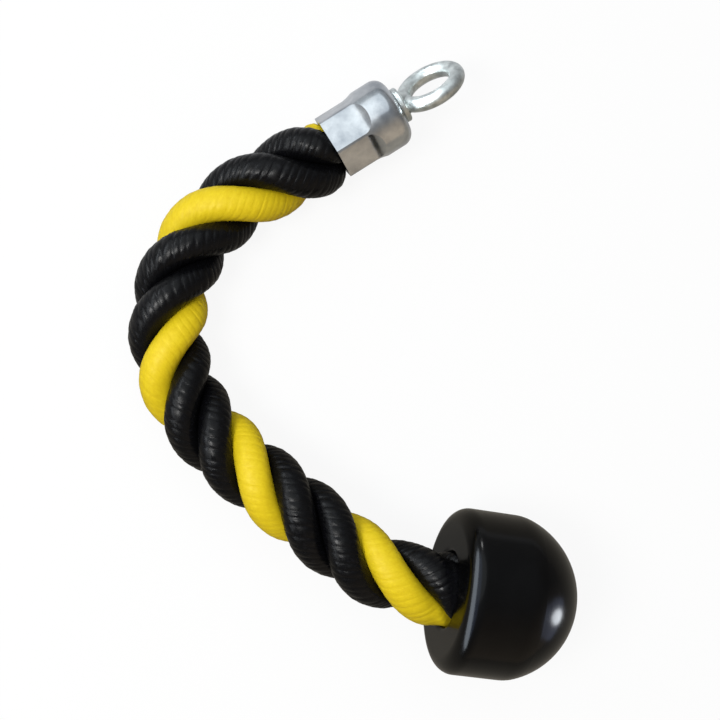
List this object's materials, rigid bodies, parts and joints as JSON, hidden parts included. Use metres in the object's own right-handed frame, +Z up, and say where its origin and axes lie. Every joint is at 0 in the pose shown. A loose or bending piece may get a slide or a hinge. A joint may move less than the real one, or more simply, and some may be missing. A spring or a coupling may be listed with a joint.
{
  "type": "cable machine pull rope",
  "caption": "Single-ended pull rope for a cable machine: laid rope crimped in a steel ferrule with a swivelling eye, and a moulded grip cap at the free end.",
  "frame": {"origin": "on the surface that the rope lies on, under the middle of the box round the ferrule, eye and grip cap", "axes": "+Z up from the surface, +Y from the grip cap towards the eye, +X towards the cap's dome"},
  "size_m": [0.1691, 0.2391, 0.0639],
  "materials": {
    "rope_fibre": "laid polypropylene rope, two black strands and one yellow",
    "rope_tape": "wrapped tape",
    "ferrule_plate": "bright plated, pressed",
    "eye_zinc": "zinc plated forging",
    "fastener_zinc": "zinc plated",
    "insert_nylon": "nylon",
    "cap_moulding": "glossy black moulding",
    "ring_steel": "plain steel"
  },
  "bodies": {
    "rope_and_cap": {"rope": "rope_fibre", "ferrule": "ferrule_plate", "ferrule_end_tape": "rope_tape", "grip_cap": "cap_moulding", "cap_crimp_ring": "ring_steel", "cap_end_tape": "rope_tape"},
    "eye": {"swivel_eye": "eye_zinc", "thrust_washer": "fastener_zinc", "lock_nut": "fastener_zinc", "nut_insert": "insert_nylon"}
  },
  "joints": [
    {"name": "eye_swivel", "type": "hinge", "parent": "rope_and_cap", "child": "eye", "pos_m": [-0.01812, 0.10054, 0.02135], "axis": [0.8327, 0.5285, 0.165], "continuous": true}
  ]
}
